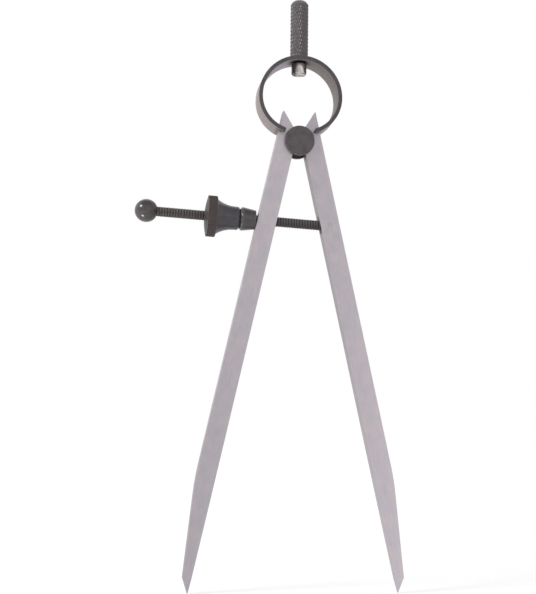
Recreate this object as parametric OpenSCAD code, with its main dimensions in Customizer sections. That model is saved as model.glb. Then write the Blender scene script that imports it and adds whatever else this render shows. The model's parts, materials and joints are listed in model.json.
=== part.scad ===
// Spring bow compass: two pointed steel legs that turn on a grooved fulcrum stud,
// sprung by a C shaped bow and set by a knurled nut on a swivelling screw.
// Millimetres, +Z up. The origin is the middle of the finger grip, on the tool's axis.
// X runs across the tool from leg to leg, Y through its thickness.

/* [Legs] */
// Fulcrum axis to the points
leg_length = 150; // [120:1:200]
// Width of a leg, seen from the front
leg_width = 6.2; // [5.6:0.1:7.5]
// Thickness of a leg, front to back
leg_thick = 4.8; // [4.4:0.1:6]
// Inner edge of a leg, from the fulcrum axis
leg_inner = 1.15; // [0.9:0.05:1.4]
// Half of the angle between the legs, as shown
leg_angle = 12.6; // [8:0.1:16]
// Half of that angle at the widest setting
open_angle = 27.5; // [24:0.5:30]
// Height of a leg's top above the fulcrum axis
leg_rise = 8.7; // [7.5:0.1:9.5]
// Bevel across a leg's top, from square
top_bevel = 46; // [44:1:50]
// Fulcrum axis to where the outer edge draws in
taper_drop = 114.3; // [100:0.1:120]
// Radius that eases the start of that taper
taper_ease = 88; // [40:1:120]
// Length of the bevelled point
point_len = 4.5; // [3:0.1:7]
// Width of a leg where its point begins
point_width = 2.84; // [2.2:0.02:3.2]
// Thickness of a leg where its point begins
point_thick = 3.2; // [2.6:0.1:4]
// Flat left on the very point
point_flat = 0.24; // [0.16:0.02:0.4]

/* [Fulcrum] */
// Radius of the stud's groove, which the legs turn on
core_r = 2.8; // [2.4:0.05:3.1]
// Radius of the stud's two flanges
flange_r = 4.9; // [4.5:0.05:5.3]
// Thickness of each flange
flange_thick = 1.35; // [1:0.05:1.8]
// Chamfer round each flange
flange_chamfer = 0.2; // [0.1:0.05:0.4]

/* [Bow spring] */
// Outer radius of the bow's upper half
bow_r = 13.8; // [13:0.1:17]
// Outer radius of its lower sides, which draw in to the legs
bow_low_r = 12.35; // [11.8:0.05:12.9]
// Thickness of the spring strip
bow_thick = 1.25; // [1:0.05:1.4]
// Width of the spring strip
bow_width = 9.6; // [9:0.1:11]
// How far the middle of the bow's rounded ends lies inside the notches' roots
bow_inset = 0.45; // [0.3:0.05:0.6]
// How far it lies below the notches' middle
bow_low = 0.18; // [0:0.01:0.2]
// Depth of the notch in each leg that holds the bow
notch_depth = 0.95; // [0.7:0.05:1.1]
// Length of that notch along the leg
notch_len = 1.65; // [1.6:0.05:2.4]
// Height of the notch's middle above the fulcrum axis
notch_rise = 2.28; // [2:0.02:2.4]

/* [Grip] */
// Radius of the finger grip
grip_r = 3; // [2.6:0.1:3.5]
// Length of the grip's straight side
grip_len = 18; // [14:0.1:22]
// Height of the grip's domed top
grip_dome = 1.8; // [1:0.1:2.4]
// Bevel below the grip's straight side
grip_bevel = 0.3; // [0.2:0.05:0.5]
// Radius of the low step between grip and bow
neck_r = 2.6; // [2.2:0.05:2.65]
// Height of that step
neck_len = 0.1; // [0.05:0.05:0.6]
// Radius of the fixing screw's shank
fix_r = 1.5; // [1.2:0.1:1.7]
// How far the shank reaches above the bow
fix_reach = 9; // [6:0.5:11]
// Spare depth of the grip's hole past the shank
fix_spare = 0.5; // [0.2:0.1:1]
// Radius of the fixing screw's head
fix_head_r = 2.5; // [2.1:0.1:2.8]
// Height of the fixing screw's head
fix_head_len = 4.25; // [3:0.05:4.5]
// Bevel round the head's lower end
fix_head_bevel = 0.35; // [0.2:0.05:0.6]
// Width of the driver slot
driver_slot = 0.8; // [0.5:0.1:1.1]
// Depth of the driver slot
driver_depth = 1; // [0.6:0.1:1.4]

/* [Adjusting screw] */
// Distance along the left leg from the fulcrum axis to the screw
screw_drop = 28.65; // [26:0.05:31]
// Radius over the screw's thread
screw_r = 1.58; // [1.4:0.02:1.65]
// Length from the pivot pin to the middle of the ball
screw_len = 60.1; // [58:0.1:66]
// Radius of the ball on the screw's end
ball_r = 3.75; // [3.2:0.05:4.2]
// How far the screw reaches past the ball's middle
ball_reach = 0.6; // [0.2:0.1:1.5]
// Radius of the pivot pin
pin_r = 0.8; // [0.6:0.05:0.9]
// Radius of the screw's eye round that pin
eye_r = 1.7; // [1.6:0.05:1.8]
// Thickness of that eye, front to back
eye_thick = 2.7; // [2.2:0.1:2.7]
// How far the screw's rod runs into that eye
eye_lap = 0.4; // [0.2:0.05:0.6]
// Width of the slots that the screw passes through
slot_width = 3.5; // [3.4:0.05:3.8]

/* [Nut and washer] */
// Radius of the nut's knurled rim
rim_r = 6.7; // [6:0.1:7.5]
// Width of that rim
rim_len = 2.95; // [2.2:0.05:3.6]
// Bevel at the rim's edges
rim_bevel = 0.2; // [0.1:0.05:0.4]
// Height of the nut's domed face
nut_dome = 0.9; // [0.5:0.1:1.2]
// Length of the nut's neck
nut_neck = 7.65; // [6:0.05:9]
// Radius of the neck at its small end
nut_neck_r = 3.82; // [3.4:0.02:4.2]
// Length of the straight end of the neck
nut_neck_end = 1.5; // [0.8:0.1:2]
// Radius of the neck's hollow flare
nut_flare = 10.4; // [9.5:0.1:14]
// Bevel at the neck's small end
nut_bevel = 0.6; // [0.2:0.05:0.7]
// Bevel round the bore in the domed face
nut_mouth = 0.3; // [0.1:0.05:0.5]
// Length of the conical washer
washer_len = 5.15; // [4:0.05:6.5]
// Radius of the washer at the nut
washer_r = 3.86; // [3.5:0.02:4.2]
// Radius of the washer at the leg
washer_nose_r = 3.14; // [2.8:0.02:3.4]
// Rounded edge of the washer, at the nut
washer_round = 0.95; // [0.4:0.05:1]

/* [Clearances] */
// Radial clearance of a turning fit
run_gap = 0.05; // [0.03:0.01:0.08]
// Radial clearance of the washer on the screw, which lets it swivel
washer_gap = 0.08; // [0.05:0.01:0.12]
// Clearance of parts that are fixed together
fix_gap = 0.01; // [0.01:0.005:0.02]
// Clearance between faces that bear on each other
seat_gap = 0.02; // [0.01:0.01:0.04]
// Side clearance of the legs between the flanges and in the bow's forked ends
side_gap = 0.08; // [0.05:0.01:0.15]
// Radial clearance round the screw where it swings in the legs
swing_gap = 0.22; // [0.15:0.01:0.3]
// Spare angle of those slots past the screw's swing
swing_spare = 1; // [0.5:0.1:2]

/* [Hidden] */
$fn = 96;
far = 40;
over = 2;
outer = leg_inner + leg_width;
half_thick = leg_thick / 2;
bow_in = bow_r - bow_thick;
bow_draw = bow_r - bow_low_r;
bow_mid = bow_low_r - bow_thick / 2;
// the bow's centre follows from its rounded ends, which lie in the legs' notches
end_out = outer - notch_depth - bow_inset;
end_up = notch_rise - bow_low;
bow_end_x = end_out * cos(leg_angle) - end_up * sin(leg_angle);
bow_end_z = end_out * sin(leg_angle) + end_up * cos(leg_angle);
bow_gap = asin((bow_end_x - bow_draw) / bow_mid);
bow_rise = bow_end_z + bow_mid * cos(bow_gap);
// heights on the tool's axis, from the fulcrum axis
bow_top = bow_rise + bow_r;
grip_low = bow_top + neck_len + grip_bevel;
grip_mid = grip_low + grip_len / 2;
fulcrum_z = -grip_mid;
bow_z = fulcrum_z + bow_rise;
// the pivot lies as far from the fulcrum as the point where the screw leaves the left leg,
// so the screw keeps its direction in the tool while both legs swing evenly
pivot_in = leg_inner + leg_width / 2;
screw_rho = sqrt(outer * outer + screw_drop * screw_drop);
pivot_drop = sqrt(screw_rho * screw_rho - pivot_in * pivot_in);
left_lead = atan2(outer, screw_drop);
right_lead = atan2(pivot_in, pivot_drop);
screw_tilt = (left_lead - right_lead) / 2;
screw_span = 2 * screw_rho * sin(leg_angle + (left_lead + right_lead) / 2);
pivot_x = pivot_in * cos(leg_angle) + pivot_drop * sin(leg_angle);
pivot_z = pivot_in * sin(leg_angle) - pivot_drop * cos(leg_angle);
// stations along the screw, from the pivot pin
washer_tilt = leg_angle - screw_tilt;
washer_at = screw_span + washer_nose_r * tan(washer_tilt) + seat_gap;
nut_at = washer_at + washer_len + run_gap;
ball_seat = screw_len + ball_reach;
// the taper of the outer edge and the arc that eases it
point_drop = leg_length - point_len;
taper_turn = atan((leg_width - point_width) / (point_drop - taper_drop));
taper_back = taper_ease * tan(taper_turn / 2);

// A leg's own frame: the fulcrum axis is its origin and the leg hangs straight down.
module leg_frame(side) {
    translate([0, 0, fulcrum_z]) rotate([0, -side * leg_angle, 0]) children();
}

// The screw's frame: the pivot pin's axis is its origin and the screw runs along +Z.
module screw_frame() {
    translate([pivot_x, 0, fulcrum_z + pivot_z]) rotate([0, screw_tilt - 90, 0]) children();
}

// Lifts a front view drawn in X and Z to a slab of the given thickness.
module slab(thick) {
    rotate([90, 0, 0]) translate([0, 0, -thick / 2]) linear_extrude(thick) children();
}

// A round bar along Y.
module cross_bar(r, len) {
    rotate([90, 0, 0]) cylinder(r = r, h = len, center = true);
}

// A leg's front view: pointed top, straight inner edge, eased taper, bevelled point.
module leg_outline(side) {
    ease = [for (i = [0:4]) let (a = taper_turn * i / 4)
        [side * (outer - taper_ease * (1 - cos(a))),
         -taper_drop + taper_back - taper_ease * sin(a)]];
    polygon(concat(
        [[side * leg_inner, leg_rise - leg_width * tan(top_bevel)], [side * outer, leg_rise]],
        ease,
        [[side * (leg_inner + point_width), -point_drop],
         [side * (leg_inner + point_flat), -leg_length],
         [side * leg_inner, -leg_length]]));
}

// A leg's side view: an even bar that thins below the taper and comes to a point.
module leg_side() {
    polygon([[-half_thick, leg_rise], [half_thick, leg_rise], [half_thick, -taper_drop],
             [point_thick / 2, -point_drop], [point_flat / 2, -leg_length],
             [-point_flat / 2, -leg_length], [-point_thick / 2, -point_drop],
             [-half_thick, -taper_drop]]);
}

// A leg before its slot: the blank, its seat on the stud and its notch for the bow.
module leg_blank(side) {
    difference() {
        intersection() {
            slab(leg_thick + over) leg_outline(side);
            rotate([0, 0, 90]) slab(far) leg_side();
        }
        cross_bar(core_r + run_gap, leg_thick + over);
        translate([side * (outer - notch_depth + far / 2), 0, notch_rise])
            cube([far, leg_thick + over, notch_len], center = true);
    }
}

// The flared slot that lets the screw pass through the left leg and swing there.
module left_slot() {
    half = (screw_r + swing_gap) / cos(open_angle);
    run = leg_width + over;
    low = half + run * tan(screw_tilt + swing_spare);
    high = half + run * tan(open_angle - screw_tilt + swing_spare);
    slab(slot_width) translate([-outer, -screw_drop])
        polygon([[-over, -half], [0, -half], [run, -low], [run, high], [0, half], [-over, half]]);
}

// The pocket that holds the screw's eye in the right leg and lets it swing.
module right_pocket() {
    half = eye_r + swing_gap;
    run = pivot_in - leg_inner + over;
    lean = open_angle + screw_tilt + swing_spare;
    translate([pivot_in, 0, -pivot_drop]) {
        cross_bar(half, slot_width);
        slab(slot_width)
            polygon([[0, -half], [0, 0], [half * sin(lean), half * cos(lean)],
                     [-run, half / cos(lean) + run * tan(lean)], [-run, -half]]);
    }
}

module left_leg() {
    color([0.70, 0.68, 0.69]) leg_frame(-1) difference() {
        leg_blank(-1);
        left_slot();
    }
}

module right_leg() {
    color([0.70, 0.68, 0.69]) leg_frame(1) difference() {
        leg_blank(1);
        right_pocket();
        translate([pivot_in, 0, -pivot_drop]) cross_bar(pin_r + fix_gap, leg_thick + over);
    }
}

// The stud: one turned spool, its groove a running fit in the legs' round seats.
module fulcrum_stud() {
    groove = half_thick + side_gap;
    face = groove + flange_thick;
    c = flange_chamfer;
    color([0.36, 0.34, 0.35]) translate([0, 0, fulcrum_z]) rotate([90, 0, 0]) rotate_extrude()
        polygon([[0, -face], [flange_r - c, -face], [flange_r, -face + c], [flange_r, -groove],
                 [core_r, -groove], [core_r, groove], [flange_r, groove], [flange_r, face - c],
                 [flange_r - c, face], [0, face]]);
}

// A ring of spring strip about Y, cut to a wedge that its front view draws.
module strip_arc(r, wedge) {
    intersection() {
        difference() {
            cross_bar(r, bow_width);
            cross_bar(r - bow_thick, bow_width + over);
        }
        slab(bow_width + over) polygon(wedge);
    }
}

// The strip's front view: a half circle, and two tighter arcs below with rounded ends.
module bow_strip() {
    strip_arc(bow_r, [[-far, 0], [far, 0], [far, far], [-far, far]]);
    for (s = [-1, 1]) translate([s * bow_draw, 0, 0]) {
        strip_arc(bow_low_r, [[0, 0], [s * far, 0], [s * far, -far], [s * far * tan(bow_gap), -far]]);
        translate([s * bow_mid * sin(bow_gap), 0, -bow_mid * cos(bow_gap)])
            cross_bar(bow_thick / 2, bow_width);
    }
}

// The bow: a C of flat strip, drilled at its top, with forked ends that straddle the legs.
module bow_spring() {
    root = outer - notch_depth + seat_gap;
    color([0.33, 0.31, 0.32]) difference() {
        translate([0, 0, bow_z]) difference() {
            bow_strip();
            cylinder(r = fix_r + run_gap, h = far);
        }
        for (s = [-1, 1]) leg_frame(s)
            translate([s * root / 2, 0, 0])
                cube([root, leg_thick + 2 * side_gap, leg_rise + over], center = true);
    }
}

// The grip: a domed bar on a low step that is hollowed to sit on the bow.
module handle() {
    low = grip_low - grip_mid;
    root = low - grip_bevel - neck_len - over;
    dome_r = (grip_r * grip_r + grip_dome * grip_dome) / (2 * grip_dome);
    sweep = asin(grip_r / dome_r);
    dome = [for (i = [0:8]) let (a = sweep * (1 - i / 8))
        [dome_r * sin(a), low + grip_len + grip_dome - dome_r * (1 - cos(a))]];
    color([0.38, 0.36, 0.37]) difference() {
        rotate_extrude() polygon(concat(
            [[0, root], [neck_r, root], [neck_r, low - grip_bevel],
             [grip_r - grip_bevel, low - grip_bevel], [grip_r, low]], dome));
        translate([0, 0, bow_z]) cross_bar(bow_r + seat_gap, far);
        translate([0, 0, bow_z]) cylinder(r = fix_r + fix_gap, h = bow_r + fix_reach + fix_spare);
    }
}

// The slotted screw that holds the grip to the bow. The flat top of its head bears on the
// bow's hollow side at its left and right edges.
module handle_screw() {
    seat_r = bow_in - seat_gap;
    seat = sqrt(seat_r * seat_r - fix_head_r * fix_head_r);
    low = bow_in - fix_head_len;
    tip = bow_r + fix_reach;
    color([0.74, 0.72, 0.72]) translate([0, 0, bow_z]) difference() {
        rotate_extrude()
            polygon([[0, low], [fix_head_r - fix_head_bevel, low], [fix_head_r, low + fix_head_bevel],
                     [fix_head_r, seat], [fix_r, seat], [fix_r, tip], [0, tip]]);
        translate([0, 0, low]) cube([far, driver_slot, 2 * driver_depth], center = true);
    }
}

// The adjusting screw, its thread drawn at its full radius, with an eye for the pivot pin.
module adjusting_screw() {
    color([0.30, 0.29, 0.29]) screw_frame() difference() {
        union() {
            translate([0, 0, eye_r - eye_lap]) cylinder(r = screw_r, h = ball_seat - eye_r + eye_lap);
            cross_bar(eye_r, eye_thick);
        }
        cross_bar(pin_r + run_gap, far);
    }
}

// The ball that stops the nut at the widest setting.
module ball_end() {
    color([0.36, 0.34, 0.34]) screw_frame() difference() {
        translate([0, 0, screw_len]) sphere(r = ball_r);
        cylinder(r = screw_r + fix_gap, h = ball_seat + seat_gap);
    }
}

module pivot_pin() {
    color([0.66, 0.64, 0.65]) leg_frame(1)
        translate([pivot_in, 0, -pivot_drop]) cross_bar(pin_r, leg_thick);
}

// The nut: hollow flared neck, broad rim and domed face, its thread drawn as a plain bore.
module adjusting_nut() {
    bore = screw_r + run_gap;
    flare = [for (i = [0:9]) let (d = (nut_neck - nut_neck_end) * i / 9)
        [nut_neck_r + nut_flare - sqrt(nut_flare * nut_flare - d * d), nut_neck_end + d]];
    face_r = rim_r - rim_bevel;
    back = nut_neck + rim_len;
    dome_r = (face_r * face_r + nut_dome * nut_dome) / (2 * nut_dome);
    dome = [for (i = [0:6]) let (r = face_r - (face_r - bore - nut_mouth) * i / 6)
        [r, back + nut_dome - dome_r + sqrt(dome_r * dome_r - r * r)]];
    color([0.32, 0.31, 0.32]) screw_frame() translate([0, 0, nut_at]) rotate_extrude()
        polygon(concat(
            [[bore, 0], [nut_neck_r - nut_bevel, 0], [nut_neck_r, nut_bevel]], flare,
            [[face_r, nut_neck], [rim_r, nut_neck + rim_bevel], [rim_r, back - rim_bevel]],
            dome, [[bore, back + nut_dome - nut_mouth]]));
}

// The loose washer between nut and left leg: a short cone with one rounded edge.
module swivel_washer() {
    bore = screw_r + washer_gap;
    edge = [for (i = [0:5]) let (a = 90 * i / 5)
        [washer_r - washer_round * (1 - cos(a)),
         washer_len - washer_round * (1 - sin(a))]];
    color([0.32, 0.31, 0.32]) screw_frame() translate([0, 0, washer_at]) rotate_extrude()
        polygon(concat([[bore, 0], [washer_nose_r, 0]], edge, [[bore, washer_len]]));
}

left_leg();
right_leg();
fulcrum_stud();
bow_spring();
handle();
handle_screw();
adjusting_screw();
ball_end();
pivot_pin();
adjusting_nut();
swivel_washer();
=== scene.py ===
"""Looks of a spring bow compass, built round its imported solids.

Sizes are metres in the part's own frame: +Z up, X from leg to leg, Y through the thickness.
"""

import json
import logging
import math
from collections.abc import Callable
from dataclasses import dataclass
from enum import Enum
from typing import Any

import bmesh
import bpy
from mathutils import Matrix, Vector


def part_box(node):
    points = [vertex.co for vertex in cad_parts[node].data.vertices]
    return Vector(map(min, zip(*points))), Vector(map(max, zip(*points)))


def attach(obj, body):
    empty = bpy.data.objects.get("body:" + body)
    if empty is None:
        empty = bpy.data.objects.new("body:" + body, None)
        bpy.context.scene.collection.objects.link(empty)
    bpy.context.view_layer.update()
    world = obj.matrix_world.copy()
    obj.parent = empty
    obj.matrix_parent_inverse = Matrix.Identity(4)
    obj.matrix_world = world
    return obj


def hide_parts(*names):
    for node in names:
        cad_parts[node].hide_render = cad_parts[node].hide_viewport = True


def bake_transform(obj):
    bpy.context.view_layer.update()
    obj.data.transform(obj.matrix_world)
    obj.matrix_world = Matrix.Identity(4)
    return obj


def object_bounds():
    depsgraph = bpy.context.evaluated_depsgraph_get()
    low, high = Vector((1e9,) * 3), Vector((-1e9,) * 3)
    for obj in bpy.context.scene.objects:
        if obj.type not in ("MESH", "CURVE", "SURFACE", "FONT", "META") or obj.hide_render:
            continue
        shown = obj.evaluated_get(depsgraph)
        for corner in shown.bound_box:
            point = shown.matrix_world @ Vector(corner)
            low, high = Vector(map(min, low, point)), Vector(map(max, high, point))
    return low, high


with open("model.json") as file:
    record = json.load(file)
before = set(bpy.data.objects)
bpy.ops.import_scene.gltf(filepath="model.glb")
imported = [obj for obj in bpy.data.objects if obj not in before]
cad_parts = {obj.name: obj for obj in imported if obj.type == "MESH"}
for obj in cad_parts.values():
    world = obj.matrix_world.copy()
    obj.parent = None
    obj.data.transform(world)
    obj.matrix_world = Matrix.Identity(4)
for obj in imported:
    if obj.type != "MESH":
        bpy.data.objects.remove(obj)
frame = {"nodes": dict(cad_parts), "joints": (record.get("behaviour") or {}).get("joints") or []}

CAD_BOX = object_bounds()
LOG = logging.getLogger("compass")
MM = 0.001
TURN = 2 * math.pi

# Tolerances: doubles, slivers and flat faces of a copied solid, and the slack when places are compared.
MERGE = 1e-7
SLIVER = 0.02 * MM
FLAT = math.radians(0.6)
HAIR = 0.01 * MM

# Steps of an eased corner and of a broken edge, and the share of a noise's finer layers.
EASE_STEPS = 4
BREAK_STEPS = 2
FINENESS = 0.55

Pair = tuple[float, float]
Triple = tuple[float, float, float]
Colour = Triple
Socket = bpy.types.NodeSocket
Shape = bmesh.types.BMesh
Edge = bmesh.types.BMEdge
Face = bmesh.types.BMFace

WHITE: Colour = (1.0, 1.0, 1.0)


class Body(Enum):
    """The bodies that pieces ride on."""

    FRAME = "frame"
    LEFT_LEG = "left_leg"
    RIGHT_LEG = "right_leg"
    SCREW = "screw"
    WASHER = "washer"
    NUT = "nut"


class Slot(Enum):
    """The part's material slots."""

    SATIN = "satin_steel"
    BLACK = "blackened_steel"
    SPRING = "spring_steel"
    BRIGHT = "bright_steel"
    THREAD = "thread_steel"


class Side(Enum):
    """The two legs, by the sign of X on their side."""

    LEFT = -1
    RIGHT = 1

    @property
    def word(self) -> str:
        """The side in small letters."""
        return self.name.lower()

    @property
    def leg(self) -> Body:
        """The body of the leg on this side."""
        return Body[self.name + "_LEG"]


@dataclass(frozen=True)
class Joint:
    """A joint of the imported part: a point on its axis, and the axis."""

    point: Vector
    axis: Vector

    @classmethod
    def named(cls, name: str) -> "Joint":
        """Finds a joint in the frame.

        Args:
            name: The joint's name.

        Returns:
            The joint, with a point at the origin where it is a slide.
        """
        row = next(j for j in frame["joints"] if j["name"] == name)
        return cls(Vector(row.get("pos_m", (0.0, 0.0, 0.0))), Vector(row["axis"]))


FULCRUM = Joint.named("right_leg_swing").point
PIVOT = Joint.named("screw_swing").point
SCREW_AXIS = Joint.named("washer_travel").axis
BOW_RADIUS = 13.8 * MM
BOW_CENTRE = Vector((0.0, 0.0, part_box("bow_spring")[1].z - BOW_RADIUS))
BALL_AT = 60.1 * MM
BALL = PIVOT + BALL_AT * SCREW_AXIS
CROSSWISE = Matrix.Rotation(math.pi / 2, 4, "X")
ON_FULCRUM = Matrix.Translation(FULCRUM) @ CROSSWISE
ON_PIVOT = Matrix.Translation(PIVOT) @ CROSSWISE
ON_SCREW = Matrix.Translation(PIVOT) @ Matrix.Rotation(math.atan2(SCREW_AXIS.x, SCREW_AXIS.z), 4, "Y")


def start_on_screw(node: str) -> float:
    """Finds how far from the pivot a solid begins, along the screw."""
    return min((v.co - PIVOT).dot(SCREW_AXIS) for v in frame["nodes"][node].data.vertices)


def off_axis(place: Vector) -> float:
    """Measures how far a place lies from the Z axis."""
    return math.hypot(place.x, place.y)


def tooth_height(phase: float) -> float:
    """Gives a tooth's height at a phase: 0 in a groove, where the phase is whole, and 1 between grooves."""
    return abs(phase - round(phase)) * 2


class Graph:
    """Wires a node tree."""

    def __init__(self, tree: bpy.types.NodeTree) -> None:
        """Takes a tree and empties it."""
        self.tree = tree
        self.tree.nodes.clear()

    def add(self, kind: str, inputs: dict[int | str, Any] | None = None, **settings: Any) -> bpy.types.Node:
        """Adds a node.

        Args:
            kind: The node's type, without its ShaderNode prefix.
            inputs: Values or output sockets, by the name or number of the input.
            settings: The node's own properties.

        Returns:
            The new node.
        """
        node = self.tree.nodes.new("ShaderNode" + kind)
        for key, value in settings.items():
            setattr(node, key, value)
        for key, value in (inputs or {}).items():
            if isinstance(value, Socket):
                self.tree.links.new(value, node.inputs[key])
            else:
                node.inputs[key].default_value = value
        return node

    def part(self, vector: Socket, axis: str) -> Socket:
        """Takes one part of a vector: "X", "Y" or "Z"."""
        return self.add("SeparateXYZ", {0: vector}).outputs[axis]

    def calc(self, operation: str, *terms: Socket | float) -> Socket:
        """Adds one step of arithmetic."""
        return self.add("Math", dict(enumerate(terms)), operation=operation).outputs[0]

    def measure(self, operation: str, *vectors: Socket | Vector) -> Socket:
        """Adds one step that makes a number from vectors."""
        return self.add("VectorMath", dict(enumerate(vectors)), operation=operation).outputs["Value"]

    def shown(self) -> Socket:
        """Picks the rays that show the background: the camera's own, and those through glass."""
        path = self.add("LightPath").outputs
        return self.calc("MAXIMUM", path["Is Camera Ray"], path["Is Transmission Ray"])

    def grain(self, coordinates: Socket, size: Triple, detail: float = 3.0, origin: Vector = Vector(),
              lean: float = 0.0) -> Socket:
        """Adds a noise whose features have a real size.

        Args:
            coordinates: Where the noise is read.
            size: The features' size along each axis, in metres.
            detail: How many finer layers the noise has.
            origin: The origin of the pattern.
            lean: The turn of the pattern about Y.

        Returns:
            The noise's factor.
        """
        mapped = self.add("Mapping", {"Vector": coordinates, "Location": origin, "Rotation": (0.0, lean, 0.0),
                                      "Scale": size}, vector_type="TEXTURE")
        noise = self.add("TexNoise", {"Vector": mapped.outputs[0], "Scale": 1.0, "Detail": detail,
                                      "Roughness": FINENESS})
        return noise.outputs["Fac"]

    def between(self, factor: Socket, low: float, high: float, start: float = 0.3,
                end: float = 0.7) -> Socket:
        """Maps a factor to a range.

        Args:
            factor: The factor to map.
            low: The result at the start.
            high: The result at the end.
            start: The factor where the range begins.
            end: The factor where it ends.

        Returns:
            The mapped value.
        """
        return self.add("MapRange", {"Value": factor, "From Min": start, "From Max": end, "To Min": low,
                                     "To Max": high}).outputs[0]

    def tint(self, factor: Socket, low: Colour, high: Colour, start: float = 0.3, end: float = 0.7) -> Socket:
        """Maps a factor to a blend of two colours.

        Args:
            factor: The factor to map.
            low: The colour at the start.
            high: The colour at the end.
            start: The factor where the blend begins.
            end: The factor where it ends.

        Returns:
            The colour.
        """
        ramp = self.add("ValToRGB", {"Fac": factor})
        first, last = ramp.color_ramp.elements
        first.position, first.color = start, (*low, 1.0)
        last.position, last.color = end, (*high, 1.0)
        return ramp.outputs["Color"]

    def mix(self, factor: Socket | float, one: Socket | Colour, other: Socket | Colour,
            blend: str = "MIX") -> Socket:
        """Mixes two colours.

        Args:
            factor: How much of the other colour there is.
            one: The first colour.
            other: The other colour.
            blend: The way they mix.

        Returns:
            The mixed colour.
        """
        first = one if isinstance(one, Socket) else (*one, 1.0)
        second = other if isinstance(other, Socket) else (*other, 1.0)
        # The node's colours are its inputs 6 and 7 and its output 2.
        node = self.add("Mix", {0: factor, 6: first, 7: second}, data_type="RGBA", blend_type=blend)
        return node.outputs[2]

    def mark(self, name: str) -> Socket:
        """Reads a mark that a piece's mesh carries: "rub", "inner" or "stain"."""
        return self.add("Attribute", attribute_name=name).outputs["Fac"]

    def bump(self, height: Socket, depth: float, strength: float) -> Socket:
        """Adds a bump with a depth in metres and a strength, and gives the bent normal."""
        return self.add("Bump", {"Height": height, "Distance": depth, "Strength": strength}).outputs[0]


@dataclass(frozen=True)
class Finish:
    """A steel finish. Each kind wires its own pattern, with a relief of some depth and strength."""

    name: str

    def material(self) -> bpy.types.Material:
        """Makes the material, or finds it if it is made already.

        Returns:
            The material.
        """
        found = bpy.data.materials.get(self.name)
        if found:
            return found
        made = bpy.data.materials.new(self.name)
        made.use_nodes = True
        graph = Graph(made.node_tree)
        shader = self.wire(graph, graph.add("TexCoord").outputs["Object"])
        graph.add("OutputMaterial", {"Surface": shader.outputs[0]})
        return made

    def wire(self, graph: Graph, place: Socket) -> bpy.types.Node:
        """Wires the finish.

        Args:
            graph: The material's graph.
            place: The piece's own coordinates.

        Returns:
            The shader.
        """
        raise NotImplementedError


@dataclass(frozen=True)
class GroundSteel(Finish):
    """Satin ground steel: fine scratches along the leg, a slightly mottled grey, painted shade on its inner
    side.

    Its lightness, a painted light and shade, goes from top at the fulcrum to tip at the point.
    """

    lean: float = 0.0
    top: float = 1.0
    tip: float = 1.0
    reach: float = 146 * MM
    cool: Colour = (0.606, 0.568, 0.626)
    warm: Colour = (0.672, 0.604, 0.632)
    # painted shade on the leg's inner faces, and a little on its outer ones
    inner: Colour = (0.330, 0.306, 0.314)
    scratch: Triple = (0.22 * MM, 0.22 * MM, 6 * MM)
    scratch_shade: float = 0.84
    scratch_span: Pair = (0.25, 0.75)
    mottle: float = 3.2 * MM
    roughness: Pair = (0.44, 0.56)
    relief: Pair = (0.008 * MM, 0.25)

    def wire(self, graph: Graph, place: Socket) -> bpy.types.Node:
        """Wires scratches that follow the leg over a mottled grey.

        Args:
            graph: The material's graph.
            place: The piece's own coordinates.

        Returns:
            The shader.
        """
        scratches = graph.grain(place, self.scratch, detail=4.0, origin=FULCRUM, lean=self.lean)
        grey = graph.tint(graph.grain(place, (self.mottle,) * 3), self.cool, self.warm)
        shade = graph.tint(scratches, (self.scratch_shade,) * 3, WHITE, *self.scratch_span)
        # painted light and shade: the grey grows lighter or darker from the fulcrum to the point
        share = graph.between(graph.part(place, "Z"), self.tip, self.top, FULCRUM.z - self.reach, FULCRUM.z)
        level = graph.add("CombineXYZ", {0: share, 1: share, 2: share}).outputs[0]
        ground = graph.mix(1.0, graph.mix(1.0, grey, shade, "MULTIPLY"), level, "MULTIPLY")
        return graph.add("BsdfPrincipled", {
            # painted shade where the faces are marked
            "Base Color": graph.mix(graph.mark("inner"), ground, self.inner),
            "Metallic": 1.0,
            "Roughness": graph.between(scratches, *self.roughness),
            "Normal": graph.bump(scratches, *self.relief),
        })


@dataclass(frozen=True)
class BlackOxide(Finish):
    """Oil-blackened steel: dark grey, low sheen, matt stains and painted shade in places, rubbed bare on
    edges.
    """

    dark: Colour = (0.070, 0.062, 0.063)
    pale: Colour = (0.092, 0.082, 0.083)
    brown: Colour = (0.051, 0.038, 0.036)
    bare: Colour = (0.34, 0.32, 0.31)
    mottle: float = 1.6 * MM
    speck: float = 0.18 * MM
    worn: Pair = (0.25, 0.75)
    ior: float = 1.5
    roughness: Pair = (0.26, 0.40)
    matt: float = 0.5
    relief: Pair = (0.01 * MM, 0.2)

    def wire(self, graph: Graph, place: Socket) -> bpy.types.Node:
        """Wires a mottled black with bare edges.

        Args:
            graph: The material's graph.
            place: The piece's own coordinates.

        Returns:
            The shader.
        """
        blotches = graph.grain(place, (self.mottle,) * 3, detail=4.0)
        specks = graph.grain(place, (self.speck,) * 3, detail=2.0)
        # brown and matt where marked: a real tone on the nut, painted shade on the ball and in the thread's
        # roots
        stain_and_painted_light = graph.mark("stain_and_painted_light")
        black = graph.mix(stain_and_painted_light, graph.tint(blotches, self.dark, self.pale), self.brown)
        sheen = graph.between(blotches, *self.roughness)
        # bare where rubbed: wear on edges and teeth, and on the rod's upper front also a painted sheen
        share = graph.calc("MULTIPLY", graph.mark("rub_and_painted_sheen"), graph.between(specks, *self.worn))
        return graph.add("BsdfPrincipled", {
            "Base Color": graph.mix(share, black, self.bare),
            "Metallic": share,
            "IOR": self.ior,
            "Roughness": graph.add("Mix", {"Factor": stain_and_painted_light, "A": sheen, "B": self.matt}).outputs[0],
            "Normal": graph.bump(specks, *self.relief),
        })


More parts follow.
